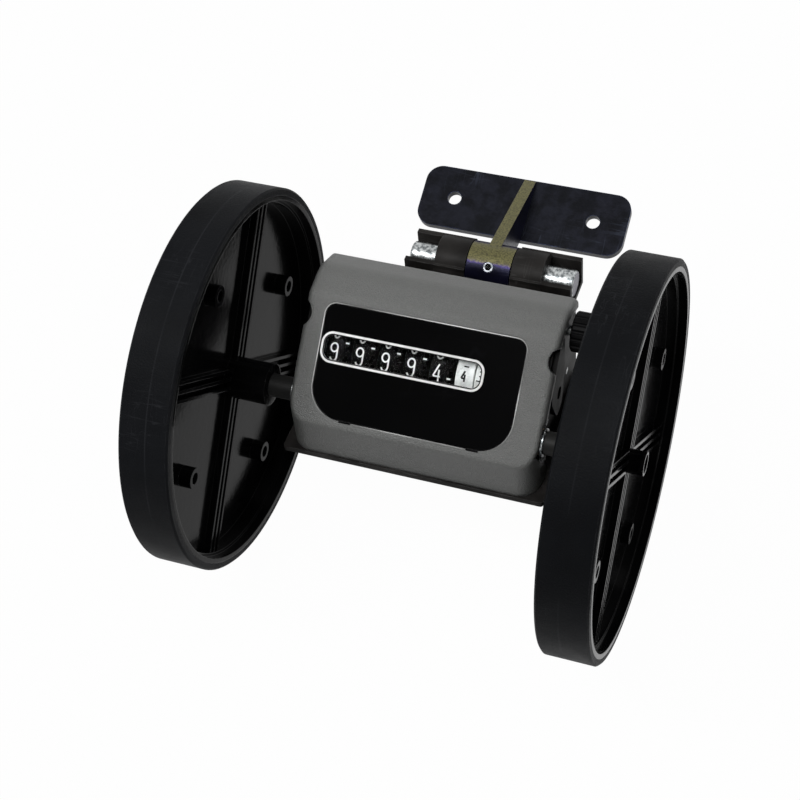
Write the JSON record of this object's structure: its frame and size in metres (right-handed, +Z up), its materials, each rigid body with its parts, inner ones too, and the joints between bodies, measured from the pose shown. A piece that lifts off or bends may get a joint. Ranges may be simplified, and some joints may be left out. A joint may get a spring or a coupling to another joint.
{
  "type": "length counter",
  "caption": "Cable length counter: two rubber-tyred measuring wheels on one axle either side of a grey housing with a number window, tilting on a hinged mounting plate.",
  "frame": {"origin": "middle of the two bracket holes on the underside of the mounting plate, level with the table under the wheels", "axes": "+X along the wheel axle to the right, +Y from the wheels back to the bracket, +Z up from the table"},
  "size_m": [0.1236, 0.1466, 0.1061],
  "materials": {
    "wheel_plastic": "black moulded, satin gloss",
    "tyre_rubber": "matte black",
    "bright_steel": "zinc plated",
    "black_plastic": "matte black",
    "bearing_bronze": "sintered bronze",
    "black_sheet": "black coated sheet",
    "grey_cover": "mid grey, fine sand texture",
    "panel_black": "gloss black",
    "line_white": "white print",
    "clear_strip": "clear",
    "number_black": "black with white figures",
    "number_white": "white with black figures",
    "gear_plastic": "natural moulded",
    "bracket_coat": "blackened steel with a blue and olive bloom"
  },
  "bodies": {
    "bracket": {"bracket_plate": "bracket_coat", "bracket_arm": "bracket_coat", "hinge_shaft": "bright_steel", "roll_pin": "bright_steel"},
    "housing": {"base_frame": "black_sheet", "inner_frame": "black_plastic", "cover": "grey_cover", "window_panel": "panel_black", "window_lens": "clear_strip", "aperture_frame": "line_white", "axle_bush_left": "bearing_bronze", "axle_bush_right": "bearing_bronze", "carry_rod": "bright_steel", "idler_stud": "bright_steel", "reset_idler_stud": "bright_steel", "base_screws": "bright_steel"},
    "wheel_set": {"axle": "bright_steel", "wheel_left": "wheel_plastic", "wheel_right": "wheel_plastic", "tyre_left": "tyre_rubber", "tyre_right": "tyre_rubber", "spacer_left": "black_plastic", "spacer_right": "black_plastic", "axle_clip_left": "bright_steel", "axle_clip_right": "bright_steel", "axle_gear": "gear_plastic"},
    "idler": {"idler_cluster": "gear_plastic"},
    "tenths_wheel": {"number_wheel_tenths": "number_white", "drive_gear": "gear_plastic"},
    "metres_wheel": {"number_wheel_metres": "number_black"},
    "tens_wheel": {"number_wheel_tens": "number_black"},
    "hundreds_wheel": {"number_wheel_hundreds": "number_black"},
    "thousands_wheel": {"number_wheel_thousands": "number_black"},
    "ten_thousands_wheel": {"number_wheel_ten_thousands": "number_black"},
    "carry_1": {"carry_pinion_1": "gear_plastic"},
    "carry_2": {"carry_pinion_2": "gear_plastic"},
    "carry_3": {"carry_pinion_3": "gear_plastic"},
    "carry_4": {"carry_pinion_4": "gear_plastic"},
    "carry_5": {"carry_pinion_5": "gear_plastic"},
    "reset_set": {"reset_knob": "wheel_plastic", "reset_shaft": "bright_steel", "reset_pinion": "gear_plastic"},
    "reset_middle": {"reset_idler": "gear_plastic"},
    "number_axis": {"number_shaft": "bright_steel", "shaft_gear": "gear_plastic"}
  },
  "joints": [
    {"name": "housing_tilt", "type": "hinge", "parent": "bracket", "child": "housing", "pos_m": [0, -0.026, 0.0175], "axis": [-1, 0, 0], "range_deg": [-30, 90]},
    {"name": "wheel_spin", "type": "hinge", "parent": "housing", "child": "wheel_set", "pos_m": [0, -0.08353, 0.05305], "axis": [1, 0, 0], "continuous": true},
    {"name": "idler_spin", "type": "hinge", "parent": "housing", "child": "idler", "pos_m": [0, -0.07698, 0.0494], "axis": [1, 0, 0], "continuous": true},
    {"name": "tenths_spin", "type": "hinge", "parent": "housing", "child": "tenths_wheel", "pos_m": [0, -0.06859, 0.04981], "axis": [1, 0, 0], "continuous": true},
    {"name": "metres_spin", "type": "hinge", "parent": "housing", "child": "metres_wheel", "pos_m": [0, -0.06859, 0.04981], "axis": [1, 0, 0], "continuous": true},
    {"name": "tens_spin", "type": "hinge", "parent": "housing", "child": "tens_wheel", "pos_m": [0, -0.06859, 0.04981], "axis": [1, 0, 0], "continuous": true},
    {"name": "hundreds_spin", "type": "hinge", "parent": "housing", "child": "hundreds_wheel", "pos_m": [0, -0.06859, 0.04981], "axis": [1, 0, 0], "continuous": true},
    {"name": "thousands_spin", "type": "hinge", "parent": "housing", "child": "thousands_wheel", "pos_m": [0, -0.06859, 0.04981], "axis": [1, 0, 0], "continuous": true},
    {"name": "ten_thousands_spin", "type": "hinge", "parent": "housing", "child": "ten_thousands_wheel", "pos_m": [0, -0.06859, 0.04981], "axis": [1, 0, 0], "continuous": true},
    {"name": "carry_1_spin", "type": "hinge", "parent": "housing", "child": "carry_1", "pos_m": [0, -0.05951, 0.04107], "axis": [1, 0, 0], "continuous": true},
    {"name": "carry_2_spin", "type": "hinge", "parent": "housing", "child": "carry_2", "pos_m": [0, -0.05951, 0.04107], "axis": [1, 0, 0], "continuous": true},
    {"name": "carry_3_spin", "type": "hinge", "parent": "housing", "child": "carry_3", "pos_m": [0, -0.05951, 0.04107], "axis": [1, 0, 0], "continuous": true},
    {"name": "carry_4_spin", "type": "hinge", "parent": "housing", "child": "carry_4", "pos_m": [0, -0.05951, 0.04107], "axis": [1, 0, 0], "continuous": true},
    {"name": "carry_5_spin", "type": "hinge", "parent": "housing", "child": "carry_5", "pos_m": [0, -0.05951, 0.04107], "axis": [1, 0, 0], "continuous": true},
    {"name": "reset_turn", "type": "hinge", "parent": "housing", "child": "reset_set", "pos_m": [0, -0.05311, 0.0563], "axis": [1, 0, 0], "continuous": true},
    {"name": "reset_idler_turn", "type": "hinge", "parent": "housing", "child": "reset_middle", "pos_m": [0, -0.05879, 0.05012], "axis": [1, 0, 0], "continuous": true},
    {"name": "number_shaft_turn", "type": "hinge", "parent": "housing", "child": "number_axis", "pos_m": [0, -0.06859, 0.04981], "axis": [1, 0, 0], "continuous": true}
  ],
  "couplings": [
    {"joint": "idler_spin", "follows": "wheel_spin", "ratio": -0.66667},
    {"joint": "tenths_spin", "follows": "wheel_spin", "ratio": 0.33333},
    {"joint": "metres_spin", "follows": "wheel_spin", "ratio": 0.033333},
    {"joint": "tens_spin", "follows": "wheel_spin", "ratio": 0.0033333},
    {"joint": "hundreds_spin", "follows": "wheel_spin", "ratio": 0.00033333},
    {"joint": "thousands_spin", "follows": "wheel_spin", "ratio": 0.000033333},
    {"joint": "ten_thousands_spin", "follows": "wheel_spin", "ratio": 0.0000033333},
    {"joint": "carry_1_spin", "follows": "wheel_spin", "ratio": -0.0000083333},
    {"joint": "carry_2_spin", "follows": "wheel_spin", "ratio": -0.000083333},
    {"joint": "carry_3_spin", "follows": "wheel_spin", "ratio": -0.00083333},
    {"joint": "carry_4_spin", "follows": "wheel_spin", "ratio": -0.0083333},
    {"joint": "carry_5_spin", "follows": "wheel_spin", "ratio": -0.083333},
    {"joint": "reset_idler_turn", "follows": "reset_turn", "ratio": -1},
    {"joint": "number_shaft_turn", "follows": "reset_turn", "ratio": 0.75}
  ]
}
